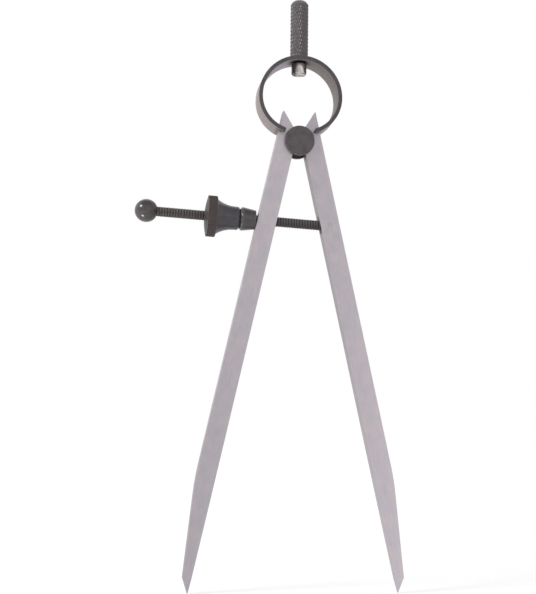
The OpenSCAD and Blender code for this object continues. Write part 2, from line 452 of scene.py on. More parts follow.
@dataclass(frozen=True)
class SpringStrip(Finish):
    """Hardened spring strip: dark edges, dull grey wide sides with fine rolling lines round the bow.

    The inner side goes from a cool to a warm grey across the bow, a painted reflection and shade. Painted
    shade lies round the grip's axis, and the outer side has a lighter painted tint, which its forks lack.
    """

    dark: Colour = (0.064, 0.056, 0.058)
    pale: Colour = (0.090, 0.079, 0.082)
    bare: Colour = (0.16, 0.15, 0.15)
    worn: float = 0.5
    # painted reflection and shade: the inner side's grey, from cool to warm across the bow
    cool: Colour = (0.430, 0.380, 0.425)
    warm: Colour = (0.265, 0.232, 0.223)
    way: Vector = Vector((0.8, 0.0, -0.6))
    across: Pair = (-11 * MM, -4 * MM)
    # painted light: the lighter tint of the outer side
    outer: Colour = (0.415, 0.366, 0.356)
    # painted shade round the grip's axis, and how strong it is
    painted_shade: Colour = (0.030, 0.024, 0.022)
    shade_strength: float = 0.95
    ring: Pair = (2.4 * MM, 4.2 * MM)
    lines: Triple = (14 * MM, 0.16 * MM, 1.0)
    line_shade: float = 0.90
    mottle: float = 3 * MM
    metal: float = 0.9
    ior: float = 1.5
    roughness: Pair = (0.52, 0.64)
    relief: Pair = (0.01 * MM, 0.15)

    def wire(self, graph: Graph, place: Socket) -> bpy.types.Node:
        """Wires rolling lines that run along the strip.

        Args:
            graph: The material's graph.
            place: The piece's own coordinates.

        Returns:
            The shader.
        """
        rolled = graph.grain(graph.add("UVMap", uv_map="strip").outputs[0], self.lines)
        black = graph.tint(graph.grain(place, (self.mottle,) * 3), self.dark, self.pale)
        edge = graph.mix(graph.calc("MULTIPLY", graph.mark("rub_and_painted_sheen"), self.worn), black, self.bare)
        # painted reflection and shade: a cool to warm grey across the bow
        out = graph.add("VectorMath", {0: place, 1: BOW_CENTRE}, operation="SUBTRACT").outputs[0]
        along = graph.between(graph.measure("DOT_PRODUCT", out, self.way), 0.0, 1.0, *self.across)
        inner = graph.tint(along, self.cool, self.warm, 0.0, 1.0)
        shade = graph.tint(rolled, (self.line_shade,) * 3, WHITE)
        # painted light: the lighter tint on the marked outer side
        dull = graph.mix(1.0, graph.mix(graph.mark("stain_and_painted_light"), inner, self.outer), shade, "MULTIPLY")
        level = Vector((1.0, 1.0, 0.0))
        flat = graph.add("VectorMath", {0: place, 1: level}, operation="MULTIPLY").outputs[0]
        # painted shade round the grip's axis
        shade_mask = graph.between(graph.measure("LENGTH", flat), self.shade_strength, 0.0, *self.ring)
        wide = graph.mark("inner")
        return graph.add("BsdfPrincipled", {
            "Base Color": graph.mix(wide, edge, graph.mix(shade_mask, dull, self.painted_shade)),
            "Metallic": graph.between(wide, 0.0, self.metal, 0.0, 1.0),
            "IOR": self.ior,
            "Roughness": graph.between(rolled, *self.roughness),
            "Normal": graph.bump(rolled, *self.relief),
        })


@dataclass(frozen=True)
class BrightTurned(Finish):
    """Bright turned steel: fine lathe rings round the axis, painted shade on its left and right and in
    hollows.
    """

    clean: Colour = (0.80, 0.745, 0.74)
    dull: Colour = (0.60, 0.545, 0.54)
    # painted shade on the left, the right and the marked faces
    painted_shade: Colour = (0.070, 0.054, 0.052)
    shade_strength: float = 0.8
    left: Pair = (-1.5 * MM, -0.5 * MM)
    right: Pair = (1.6 * MM, 2.2 * MM)
    rings: Triple = (6 * MM, 6 * MM, 0.14 * MM)
    mottle: float = 1.1 * MM
    roughness: Pair = (0.20, 0.34)
    relief: Pair = (0.01 * MM, 0.3)

    def wire(self, graph: Graph, place: Socket) -> bpy.types.Node:
        """Wires lathe rings on a bright metal.

        Args:
            graph: The material's graph.
            place: The piece's own coordinates.

        Returns:
            The shader.
        """
        rings = graph.grain(place, self.rings, detail=2.0)
        blotches = graph.grain(place, (self.mottle,) * 3)
        # painted shade: darker towards the left and the right, and on the marked faces
        side = graph.part(place, "X")
        left = graph.between(side, self.shade_strength, 0.0, *self.left)
        right = graph.between(side, 0.0, self.shade_strength, *self.right)
        shade_mask = graph.calc("MAXIMUM", graph.calc("MAXIMUM", left, right), graph.mark("inner"))
        return graph.add("BsdfPrincipled", {
            "Base Color": graph.mix(shade_mask, graph.tint(blotches, self.dull, self.clean), self.painted_shade),
            "Metallic": 1.0,
            "Roughness": graph.between(rings, *self.roughness),
            "Normal": graph.bump(rings, *self.relief),
        })


@dataclass(frozen=True)
class Corner:
    """A corner of a turned profile: its radius, its station along the axis, and how far it is eased."""

    radius: float
    station: float
    ease: float = 0.0


def arc(middle: Pair, radius: float, start: float, end: float, count: int) -> list[Corner]:
    """Draws part of a circle in a turned profile.

    Args:
        middle: The circle's centre, as a radius and a station.
        radius: The circle's radius.
        start: The first angle, from the direction of growing radius.
        end: The last angle.
        count: How many steps it has.

    Returns:
        The corners along it, both ends included.
    """
    angles = [start + (end - start) * i / count for i in range(count + 1)]
    return [Corner(middle[0] + radius * math.cos(a), middle[1] + radius * math.sin(a)) for a in angles]


def turned(corners: list[Corner], steps: int, rows: float = 0.0) -> Shape:
    """Turns a profile about Z, as on a lathe.

    Args:
        corners: The profile, in order along it.
        steps: How many steps the turn has.
        rows: The longest step along the profile, where it is set.

    Returns:
        The turned shape.
    """
    bm = bmesh.new()
    verts = [bm.verts.new((c.radius, 0.0, c.station)) for c in corners]
    for pair in zip(verts, verts[1:]):
        bm.edges.new(pair)
    for vert, corner in zip(verts, corners):
        if corner.ease:
            bmesh.ops.bevel(bm, geom=[vert], offset=corner.ease, segments=EASE_STEPS, profile=0.5,
                            affect="VERTICES", material=-1)
    if rows:
        for edge in [e for e in bm.edges if e.calc_length() > rows]:
            bmesh.ops.subdivide_edges(bm, edges=[edge], cuts=math.ceil(edge.calc_length() / rows) - 1)
    bmesh.ops.spin(bm, geom=bm.verts[:] + bm.edges[:], cent=(0, 0, 0), axis=(0, 0, 1), angle=TURN,
                   steps=steps, use_merge=True)
    bmesh.ops.remove_doubles(bm, verts=bm.verts, dist=MERGE)
    bmesh.ops.recalc_face_normals(bm, faces=bm.faces)
    return bm


def merged(node: str) -> Shape:
    """Copies a solid as one closed mesh with whole flat faces.

    Args:
        node: The solid's name.

    Returns:
        The copy.
    """
    bm = bmesh.new()
    bm.from_mesh(frame["nodes"][node].data)
    bmesh.ops.remove_doubles(bm, verts=bm.verts, dist=MERGE)
    bmesh.ops.dissolve_degenerate(bm, dist=SLIVER, edges=bm.edges)
    bmesh.ops.dissolve_limit(bm, angle_limit=FLAT, use_dissolve_boundaries=False, verts=bm.verts,
                             edges=bm.edges)
    return bm


def cut(bm: Shape, place: Vector, way: Vector, clear: bool = False) -> None:
    """Cuts a shape along a plane.

    Args:
        bm: The shape.
        place: A point of the plane.
        way: The plane's normal.
        clear: Whether what lies that way is taken off.
    """
    bmesh.ops.bisect_plane(bm, geom=bm.verts[:] + bm.edges[:] + bm.faces[:], dist=MERGE, plane_co=place,
                           plane_no=way, clear_outer=clear)


def capped(bm: Shape) -> None:
    """Closes the ends that cuts have left open, and turns the faces outwards."""
    bmesh.ops.holes_fill(bm, edges=[e for e in bm.edges if e.is_boundary], sides=0)
    bmesh.ops.recalc_face_normals(bm, faces=bm.faces)


def sharp_edges(bm: Shape, angle: float) -> list[Edge]:
    """Lists the edges of a shape that turn by more than an angle in degrees."""
    return [e for e in bm.edges if e.is_manifold and e.calc_face_angle() > math.radians(angle)]


def broken(bm: Shape, edges: list[Edge], width: float) -> None:
    """Breaks edges of a shape with a small rounded bevel of some width."""
    bmesh.ops.bevel(bm, geom=edges, offset=width, segments=BREAK_STEPS, profile=0.5, affect="EDGES",
                    clamp_overlap=True, material=-1)


def sink(vert: bmesh.types.BMVert, depth: float) -> None:
    """Moves a vertex towards the Z axis.

    Args:
        vert: The vertex.
        depth: How far it moves.
    """
    scale = 1 - depth / off_axis(vert.co)
    vert.co.x *= scale
    vert.co.y *= scale


def marks(bm: Shape, name: str) -> bmesh.types.BMLayerItem:
    """Finds the layer of a mark on a shape's vertices, or makes it."""
    return bm.verts.layers.float.get(name) or bm.verts.layers.float.new(name)


def rub_edges(bm: Shape, angle: float, amount: float) -> None:
    """Marks the vertices on tight curves as rubbed.

    Args:
        bm: The shape.
        angle: The least turn at a rubbed vertex, in degrees.
        amount: How far they are rubbed.
    """
    rub_and_painted_sheen = marks(bm, "rub_and_painted_sheen")
    for edge in sharp_edges(bm, angle):
        for vert in edge.verts:
            vert[rub_and_painted_sheen] = max(vert[rub_and_painted_sheen], amount)


def mark_faces(bm: Shape, share: Callable[[Face, Vector], float]) -> None:
    """Marks faces that a finish treats in its own way, as "inner".

    Args:
        bm: The shape.
        share: How strongly a face is marked at one of its corners.
    """
    layer = bm.loops.layers.float_color.new("inner")
    for face in bm.faces:
        for loop in face.loops:
            loop[layer] = (share(face, loop.vert.co),) * 3 + (1.0,)


def put(name: str, bm: Shape, finish: Finish, node: str, crease: float = 32.0,
        body: Body | None = None) -> bpy.types.Object:
    """Makes a finished piece of a shape and lets it stand for a solid.

    Args:
        name: The piece's name.
        bm: The shape, in place. It is freed.
        finish: The piece's finish.
        node: The solid that it stands for.
        crease: The turn from which an edge stays sharp, in degrees.
        body: The body that it rides on; a piece that spans two bodies gets none.

    Returns:
        The piece.
    """
    for face in bm.faces:
        face.smooth = True
    for edge in sharp_edges(bm, crease):
        edge.smooth = False
    mesh = bpy.data.meshes.new(name)
    bm.to_mesh(mesh)
    bm.free()
    piece = bpy.data.objects.new(name, mesh)
    bpy.context.scene.collection.objects.link(piece)
    mesh.materials.append(finish.material())
    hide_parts(node)
    if body:
        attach(piece, body.value)
    LOG.info("%s: %d faces", name, len(mesh.polygons))
    return piece


@dataclass(frozen=True)
class Leg:
    """A leg: the solid's own shape with its long edges broken, ground along its length.

    It is as light as top says at the fulcrum and as tip says at the point, where its edges stay sharp. That
    change of lightness is painted light and shade. A face is an inner or an outer one, for painted shade,
    where its normal turns that way from a share on.
    """

    side: Side
    top: float
    tip: float
    lean: float = math.radians(12.6)
    length: float = 150 * MM
    point_len: float = 6.3 * MM
    corner: float = 40.0
    long_edge: float = 1.2 * MM
    edge_break: float = 0.14 * MM
    inner_from: float = 0.8
    inner_least: float = 0.25
    fade_len: float = 180 * MM
    outer_from: float = 0.5
    outer_share: float = 0.35

    @property
    def down(self) -> Vector:
        """The way from the fulcrum to the point."""
        return Vector((self.side.value * math.sin(self.lean), 0.0, -math.cos(self.lean)))

    def along(self, place: Vector) -> float:
        """How far below the fulcrum a place lies, along the leg."""
        return (place - FULCRUM).dot(self.down)

    def shape(self) -> Shape:
        """Breaks the long edges above the point.

        Returns:
            The leg's shape.
        """
        bm = merged(self.side.leg.value)
        start = self.length - self.point_len
        cut(bm, FULCRUM + start * self.down, self.down)
        edges = [e for e in sharp_edges(bm, self.corner) if e.calc_length() > self.long_edge
                 and max(self.along(v.co) for v in e.verts) < start + HAIR]
        broken(bm, edges, self.edge_break)
        return bm

    def inner_share(self, face: Face, corner: Vector) -> float:
        """Marks the faces that look towards the other leg, less down the leg, and a little the outer ones,
        for painted shade.

        Args:
            face: A face of the leg.
            corner: One of its corners.

        Returns:
            How strongly the face is marked there.
        """
        # painted shade: inner faces, fading down the leg, and a little on the outer faces
        inwards = -self.side.value * face.normal.x
        if inwards > self.inner_from:
            return min(1.0, max(self.inner_least, 1 + (corner.z - FULCRUM.z) / self.fade_len))
        return self.outer_share if inwards < -self.outer_from else 0.0

    def build(self) -> None:
        """Makes the leg."""
        bm = self.shape()
        mark_faces(bm, self.inner_share)
        finish = GroundSteel("ground_" + self.side.word, -self.side.value * self.lean, self.top, self.tip)
        leg = self.side.leg
        put(leg.value + "_ground", bm, finish, leg.value, body=leg)


@dataclass(frozen=True)
class PivotPin:
    """The pin that the screw swings on, filed flush with the right leg."""

    radius: float = 0.8 * MM
    half: float = 2.4 * MM
    proud: float = 0.01 * MM
    ease: float = 0.03 * MM
    steps: int = 48
    finish: Finish = GroundSteel("ground_pin", lean=0.4, cool=(0.600, 0.548, 0.578),
                                 warm=(0.640, 0.570, 0.590))

    def build(self) -> None:
        """Makes the pin."""
        end = self.half + self.proud
        bm = turned([Corner(0, -end), Corner(self.radius, -end, self.ease),
                     Corner(self.radius, end, self.ease), Corner(0, end)], self.steps)
        bmesh.ops.transform(bm, matrix=ON_PIVOT, verts=bm.verts)
        put("pivot_pin_filed", bm, self.finish, "pivot_pin", body=Body.RIGHT_LEG)


@dataclass(frozen=True)
class FulcrumStud:
    """The spool that the legs turn on: two flanges with a faint crown, and the groove between them.

    The crown's middle part is flatter: it ends at a share of the flange's radius and of the crown's height.
    """

    core: float = 2.8 * MM
    flange: float = 4.9 * MM
    groove: float = 2.48 * MM
    groove_ease: float = 0.1 * MM
    face: float = 3.83 * MM
    ease: float = 0.28 * MM
    crown: float = 0.08 * MM
    middle_reach: float = 0.62
    middle_height: float = 0.6
    middle_ease: float = 0.8 * MM
    steps: int = 128
    rub_turn: float = 14.0
    rubbed: float = 0.15
    finish: Finish = BlackOxide("black_stud", dark=(0.068, 0.057, 0.060), pale=(0.112, 0.095, 0.100),
                                roughness=(0.40, 0.55))

    def flange_side(self, sign: int) -> list[Corner]:
        """Draws one flange.

        Args:
            sign: The side of the spool that it is on.

        Returns:
            The corners from the axis to the groove.
        """
        middle = self.face + self.middle_height * self.crown
        return [Corner(0, sign * (self.face + self.crown)),
                Corner(self.middle_reach * self.flange, sign * middle, self.middle_ease),
                Corner(self.flange, sign * self.face, self.ease),
                Corner(self.flange, sign * self.groove, self.groove_ease),
                Corner(self.core, sign * self.groove)]

    def build(self) -> None:
        """Makes the stud."""
        bm = turned(self.flange_side(-1) + self.flange_side(1)[::-1], self.steps)
        rub_edges(bm, self.rub_turn, self.rubbed)
        bmesh.ops.transform(bm, matrix=ON_FULCRUM, verts=bm.verts)
        put("fulcrum_stud_turned", bm, self.finish, "fulcrum_stud", body=Body.FRAME)


@dataclass(frozen=True)
class Bow:
    """The bow spring, in two halves that each bend from the grip to a leg.

    A face is an edge, or an outer side, where its normal turns that way from a share on.
    """

    corner: float = 50.0
    edge_break: float = 0.16 * MM
    rub_turn: float = 30.0
    rubbed: float = 0.5
    edge_from: float = 0.5
    outer_from: float = 0.5
    fork_reach: float = 7.8 * MM
    bend_from: float = 0.8
    fork_rise: float = 5.2 * MM
    finish: Finish = SpringStrip("spring_strip")

    def wide(self, face: Face, _: Vector | None = None) -> float:
        """Tells 1 on a wide side of the strip, and 0 on its edges."""
        return float(abs(face.normal.y) < self.edge_from)

    def half(self, side: Side) -> Shape:
        """Cuts one half from the strip and breaks its edges.

        Args:
            side: The half to keep.

        Returns:
            The half's shape.
        """
        bm = merged("bow_spring")
        broken(bm, sharp_edges(bm, self.corner), self.edge_break)
        rub_edges(bm, self.rub_turn, self.rubbed)
        cut(bm, Vector(), Vector((-side.value, 0, 0)), clear=True)
        capped(bm)
        mark_faces(bm, self.wide)
        self.mark_outer(bm)
        self.unroll(bm)
        return bm

    def mark_outer(self, bm: Shape) -> None:
        """Marks the side that looks away from the bow's middle for a lighter painted tint, down to its fork.

        The fork keeps the darker grey of the inner side, as painted shade.

        Args:
            bm: The half's shape.
        """
        stain_and_painted_light = marks(bm, "stain_and_painted_light")
        for face in bm.faces:
            out = face.calc_center_median() - BOW_CENTRE
            out.y = 0.0
            if self.wide(face) and face.normal.dot(out.normalized()) > self.outer_from:
                for vert in face.verts:
                    # the forks are left out, and keep painted shade
                    forked = vert.co.z < BOW_CENTRE.z and abs(vert.co.x) < self.fork_reach
                    vert[stain_and_painted_light] = 0.0 if forked else 1.0

    def unroll(self, bm: Shape) -> None:
        """Lays the strip's own map on it: along the bow, and across it.

        Args:
            bm: The half's shape.
        """
        layer = bm.loops.layers.uv.new("strip")
        for face in bm.faces:
            for loop in face.loops:
                out = loop.vert.co - BOW_CENTRE
                reach = math.hypot(out.x, out.z)
                loop[layer].uv = (math.atan2(out.x, out.z) * BOW_RADIUS, out.y + reach)

    def build(self) -> None:
        """Makes both halves."""
        for side in Side:
            piece = put("bow_" + side.word, self.half(side), self.finish, "bow_spring")
            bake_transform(piece)


@dataclass(frozen=True)
class Grip:
    """The knurled finger grip, domed on top, on a neck that sits on the bow.

    The knurl grows over a length above the lower end, and over a share of the radius on the dome.
    """

    radius: float = 3.0 * MM
    half: float = 9.0 * MM
    dome: float = 1.8 * MM
    dome_steps: int = 12
    bevel: float = 0.3 * MM
    neck: float = 2.6 * MM
    neck_len: float = 0.1 * MM
    seat: float = 0.02 * MM
    starts: int = 26
    diamond: float = 2.53 * MM
    cells: int = 12
    depth: float = 0.25 * MM
    grow_len: float = 0.5 * MM
    grow_from: float = 0.8
    grow_over: float = 0.1
    worn: float = 0.75
    rubbed: float = 0.2
    crease: float = 18.0
    finish: Finish = BlackOxide("black_grip", dark=(0.099, 0.087, 0.091), pale=(0.128, 0.112, 0.118),
                                roughness=(0.19, 0.30))

    @property
    def foot(self) -> float:
        """The height of the neck's lower end."""
        return -self.half - self.bevel - self.neck_len

    def profile(self) -> list[Corner]:
        """Draws the grip from its seat to the top of its dome.

        Returns:
            The corners.
        """
        low = -self.half
        ball = (self.radius ** 2 + self.dome ** 2) / (2 * self.dome)
        sweep = math.asin(self.radius / ball)
        middle = self.half + self.dome - ball
        cap = arc((0.0, middle), ball, math.pi / 2 - sweep, math.pi / 2, self.dome_steps)
        return [Corner(0, self.foot), Corner(self.neck, self.foot), Corner(self.neck, low - self.bevel),
                Corner(self.radius - self.bevel, low - self.bevel), Corner(self.radius, low), *cap]

    def sit(self, bm: Shape) -> None:
        """Hollows the neck's foot to the bow's round.

        Args:
            bm: The grip's shape.
        """
        middle = self.foot - BOW_RADIUS
        reach = BOW_RADIUS + self.seat
        for vert in bm.verts:
            if vert.co.z < self.foot + HAIR:
                vert.co.z = middle + math.sqrt(reach ** 2 - vert.co.x ** 2)

    def knurl(self, bm: Shape) -> None:
        """Cuts crossed grooves into the straight side, which leave long diamonds.

        Args:
            bm: The grip's shape.
        """
        rub_and_painted_sheen = marks(bm, "rub_and_painted_sheen")
        for vert in bm.verts:
            reach = off_axis(vert.co)
            vert[rub_and_painted_sheen] = self.worn if vert.co.z > self.half else 0.0
            if vert.co.z < -self.half + HAIR or reach < self.grow_from * self.radius:
                continue
            around = math.atan2(vert.co.y, vert.co.x) / TURN * self.starts
            up = vert.co.z / self.diamond
            height = min(tooth_height(around + up), tooth_height(around - up))
            share = min(1.0, (vert.co.z + self.half) / self.grow_len)
            share *= min(1.0, (reach / self.radius - self.grow_from) / self.grow_over)
            sink(vert, share * self.depth * (1 - height))
            vert[rub_and_painted_sheen] = max(vert[rub_and_painted_sheen], self.rubbed * share * max(0.0, 2 * height - 1))

    def build(self) -> None:
        """Makes the grip."""
        bm = turned(self.profile(), self.starts * self.cells, self.diamond / self.cells)
        self.sit(bm)
        self.knurl(bm)
        put("handle_knurled", bm, self.finish, "handle", crease=self.crease, body=Body.FRAME)


@dataclass(frozen=True)
class GripScrew:
    """The bright turned screw that holds the grip, its head coned off towards the bow.

    A face is the head's end, or its cone, where its normal turns down or up from a share on.
    """

    clear_of_shank: float = 1.6 * MM
    cone: float = 0.3 * MM
    corner: float = 40.0
    edge_break: float = 0.07 * MM
    ring: float = 0.5 * MM
    end_from: float = 0.99
    cone_from: float = 0.3
    finish: Finish = BrightTurned("bright_screw")

    def shape(self) -> Shape:
        """Cones the head's top, breaks its edges and sets a ring off round its face.

        Returns:
            The screw's shape.
        """
        bm = merged("handle_screw")
        head = [v for v in bm.verts if off_axis(v.co) > self.clear_of_shank]
        shoulder = max(v.co.z for v in head)
        for vert in head:
            if vert.co.z > shoulder - HAIR:
                vert.co.z -= self.cone
        broken(bm, sharp_edges(bm, self.corner), self.edge_break)
        ends = [f for f in bm.faces if f.normal.z < -self.end_from]
        bmesh.ops.inset_region(bm, faces=ends, thickness=self.ring)
        return bm

    def in_painted_shade(self, face: Face, reach: float) -> bool:
        """Tells where shade is painted: on the coned top, and on the back of the ring round the head's face.

        Args:
            face: A face of the screw.
            reach: The ring's inner radius.

        Returns:
            Whether the face gets painted shade.
        """
        middle = face.calc_center_median()
        in_ring = off_axis(middle) > reach and middle.y > 0
        return face.normal.z > self.cone_from or (face.normal.z < -self.end_from and in_ring)

    def build(self) -> None:
        """Makes the screw."""
        bm = self.shape()
        low = min(v.co.z for v in bm.verts) + HAIR
        reach = max(off_axis(v.co) for v in bm.verts if v.co.z < low) - self.ring
        # painted shade on the coned top and the back of the ring
        mark_faces(bm, lambda face, _: float(self.in_painted_shade(face, reach)))
        put("handle_screw_turned", bm, self.finish, "handle_screw", body=Body.FRAME)


@dataclass(frozen=True)
class AdjustingScrew:
    """The threaded rod with its eye, and the ball on its end.

    The flanks are where a thread's rise, crest and fall end, in shares of the pitch. The crests are rubbed,
    with a painted sheen strongest on the rod's upper front, and the roots are darkened as painted shade.
    """

    radius: float = 1.61 * MM
    root: float = 1.48 * MM
    pitch: float = 0.9 * MM
    flanks: Triple = (0.30, 0.62, 0.92)
    weld: float = 0.001 * MM
    start: float = 1.3 * MM
    end: float = 60.7 * MM
    facets: int = 32
    crest: float = 0.12
    # painted sheen: the crests grow lighter towards this way, the rod's upper front
    sheen_way: Vector = Vector((0.0, -0.6, 0.8))
    painted_sheen: float = 0.6
    sheen_focus: int = 3
    crease: float = 28.0
    # the near-black brown here is painted shade in the thread's roots
    rod_finish: Finish = BlackOxide("black_thread", dark=(0.040, 0.032, 0.029), pale=(0.066, 0.053, 0.049),
                                    brown=(0.006, 0.005, 0.005), roughness=(0.34, 0.48))
    eye: float = 1.7 * MM
    eye_bore: float = 0.85 * MM
    eye_half: float = 1.35 * MM
    eye_ease: float = 0.1 * MM
    eye_steps: int = 48
    ball: float = 3.75 * MM
    ball_steps: int = 64
    ball_rows: int = 32
    mouth: float = 0.25 * MM
    play: float = 0.01 * MM
    end_gap: float = 0.02 * MM
    tip: float = 0.45 * MM
    # painted shade: the ball darkens towards the rod over this share of its radius
    shade_reach: float = 0.7
    # the brown here is painted shade on the ball's side towards the rod
    ball_finish: Finish = BlackOxide("black_ball", dark=(0.050, 0.041, 0.040), pale=(0.070, 0.059, 0.058),
                                     brown=(0.032, 0.027, 0.029), ior=1.65, roughness=(0.13, 0.18))

    def thread(self) -> Shape:
        """Winds a thread of one pitch along the rod and cuts its ends square.

        Returns:
            The rod, in place.
        """
        bm = bmesh.new()
        low = self.start - self.pitch
        rise, crest, fall = self.flanks
        outline = ((self.root, 0.0), (self.radius, rise), (self.radius, crest), (self.root, fall),
                   (self.root, 1.0))
        verts = [bm.verts.new((reach, 0.0, low + share * self.pitch)) for reach, share in outline]
        edges = [bm.edges.new(pair) for pair in zip(verts, verts[1:])]
        bmesh.ops.spin(bm, geom=verts + edges, cent=(0, 0, 0), axis=(0, 0, 1), angle=TURN, steps=self.facets,
                       dvec=(0, 0, self.pitch / self.facets))
        first = bm.verts[:] + bm.edges[:] + bm.faces[:]
        for turn in range(1, math.ceil((self.end - self.start) / self.pitch) + 2):
            copied = bmesh.ops.duplicate(bm, geom=first)["geom"]
            bmesh.ops.translate(bm, verts=[g for g in copied if isinstance(g, bmesh.types.BMVert)],
                                vec=(0, 0, turn * self.pitch))
        bmesh.ops.remove_doubles(bm, verts=bm.verts, dist=self.weld)
        for station, way in ((self.start, -1), (self.end, 1)):
            cut(bm, Vector((0, 0, station)), Vector((0, 0, way)), clear=True)
        capped(bm)
        bmesh.ops.transform(bm, matrix=ON_SCREW, verts=bm.verts)
        return bm

    def rub_crests_and_shade_roots(self, bm: Shape) -> None:
        """Marks the crests as rubbed, with painted sheen most on the upper front, and the roots with painted
        shade.

        Args:
            bm: The rod, in place.
        """
        rub_and_painted_sheen = marks(bm, "rub_and_painted_sheen")
        stain_and_painted_light = marks(bm, "stain_and_painted_light")
        for vert in bm.verts:
            out = vert.co - PIVOT
            out -= out.dot(SCREW_AXIS) * SCREW_AXIS
            if out.length > self.radius - HAIR:
                # painted sheen on the crests towards the rod's upper front; the roots below get painted shade
                facing = max(0.0, out.normalized().dot(self.sheen_way))
                vert[rub_and_painted_sheen] = self.crest + self.painted_sheen * facing ** self.sheen_focus
            else:
                vert[stain_and_painted_light] = 1.0

    def add_eye(self, bm: Shape) -> None:
        """Adds the eye round the pivot pin.

        Args:
            bm: The rod, in place.
        """
        ring = turned([Corner(self.eye_bore, -self.eye_half), Corner(self.eye, -self.eye_half, self.eye_ease),
                       Corner(self.eye, self.eye_half, self.eye_ease), Corner(self.eye_bore, self.eye_half),
                       Corner(self.eye_bore, -self.eye_half)], self.eye_steps)
        bmesh.ops.transform(ring, matrix=ON_PIVOT, verts=ring.verts)
        eye = bpy.data.meshes.new("eye")
        ring.to_mesh(eye)
        ring.free()
        bm.from_mesh(eye)
        bpy.data.meshes.remove(eye)

    def ball_shape(self) -> Shape:
        """Turns the ball, with a countersunk mouth and a small faced end, darker towards the rod as painted
        shade.

        Returns:
            The ball, in place.
        """
        mouth = math.asin((self.radius + self.mouth) / self.ball)
        tip = math.asin(self.tip / self.ball)
        outside = arc((0.0, BALL_AT), self.ball, -math.pi / 2 + mouth, math.pi / 2 - tip, self.ball_rows)
        bore = self.radius + self.play
        bottom = self.end + self.end_gap
        bm = turned([Corner(0, bottom), Corner(bore, bottom), Corner(bore, outside[0].station + self.mouth),
                     *outside, Corner(0, outside[-1].station)], self.ball_steps)
        stain_and_painted_light = marks(bm, "stain_and_painted_light")
        for vert in bm.verts:
            # painted shade: darker towards the rod
            vert[stain_and_painted_light] = min(1.0, max(0.0, (BALL_AT - vert.co.z) / self.ball / self.shade_reach))
        bmesh.ops.transform(bm, matrix=ON_SCREW, verts=bm.verts)
        return bm

    def build(self) -> None:
        """Makes the rod and the ball."""
        rod = self.thread()
        self.rub_crests_and_shade_roots(rod)
        self.add_eye(rod)
        put("adjusting_screw_threaded", rod, self.rod_finish, "adjusting_screw",
            crease=self.crease, body=Body.SCREW)
        put("ball_end_turned", self.ball_shape(), self.ball_finish, "ball_end", body=Body.SCREW)


@dataclass(frozen=True)
class Nut:
    """The adjusting nut: hollow flared neck, knurled rim and domed face, stained from the rim on."""

    at: float = start_on_screw("adjusting_nut")
    bore: float = 1.63 * MM
    mouth: float = 0.3 * MM
    neck: float = 7.65 * MM
    neck_r: float = 3.82 * MM
    neck_end: float = 1.5 * MM
    neck_bevel: float = 0.6 * MM
    neck_ease: float = 0.08 * MM
    flare: float = 10.4 * MM
    flare_steps: int = 16
    rim: float = 6.7 * MM
    rim_len: float = 2.95 * MM
    rim_slack: float = 0.02 * MM
    ease: float = 0.22 * MM
    dome: float = 0.9 * MM
    dome_steps: int = 10
    teeth: int = 64
    tooth: float = 0.16 * MM
    tooth_rub: float = 0.55
    cells: int = 6
    rows: float = 0.5 * MM
    rub_turn: float = 14.0
    rubbed: float = 0.5
    finish: Finish = BlackOxide("black_nut", dark=(0.050, 0.046, 0.054), pale=(0.074, 0.068, 0.079),
                                roughness=(0.20, 0.30))

    def profile(self) -> list[Corner]:
        """Draws the nut from its neck to its domed face.

        Returns:
            The corners, from and to the bore.
        """
        back = self.neck + self.rim_len
        sweep = math.asin((self.neck - self.neck_end) / self.flare)
        hollow = arc((self.neck_r + self.flare, self.neck_end), -self.flare, 0.0, -sweep, self.flare_steps)
        face = self.rim - self.ease
        ball = (face ** 2 + self.dome ** 2) / (2 * self.dome)
        start = math.acos(face / ball)
        end = math.acos((self.bore + self.mouth) / ball)
        cap = arc((0.0, back + self.dome - ball), ball, start, end, self.dome_steps)
        corners = [Corner(self.bore, 0.0), Corner(self.neck_r - self.neck_bevel, 0.0, self.neck_ease),
                   Corner(self.neck_r, self.neck_bevel, self.neck_ease), *hollow,
                   Corner(self.rim, self.neck, self.ease), Corner(self.rim, back), *cap,
                   Corner(self.bore, back + self.dome - self.mouth), Corner(self.bore, 0.0)]
        return [Corner(c.radius, c.station + self.at, c.ease) for c in corners]

    def knurl(self, bm: Shape) -> None:
        """Cuts straight teeth into the rim, and stains the nut from there on.

        Args:
            bm: The nut's shape, along Z.
        """
        rub_and_painted_sheen = marks(bm, "rub_and_painted_sheen")
        stain_and_painted_light = marks(bm, "stain_and_painted_light")
        for vert in bm.verts:
            vert[stain_and_painted_light] = 1.0 if vert.co.z > self.at + self.neck - HAIR else 0.0
            if off_axis(vert.co) > self.rim - self.rim_slack:
                height = tooth_height(math.atan2(vert.co.y, vert.co.x) / TURN * self.teeth)
                sink(vert, self.tooth * (1 - height))
                vert[rub_and_painted_sheen] = self.tooth_rub * max(0.0, height - 0.5)

    def build(self) -> None:
        """Makes the nut."""
        bm = turned(self.profile(), self.teeth * self.cells, self.rows)
        rub_edges(bm, self.rub_turn, self.rubbed)
        self.knurl(bm)
        bmesh.ops.transform(bm, matrix=ON_SCREW, verts=bm.verts)
        put("adjusting_nut_knurled", bm, self.finish, "adjusting_nut", body=Body.NUT)


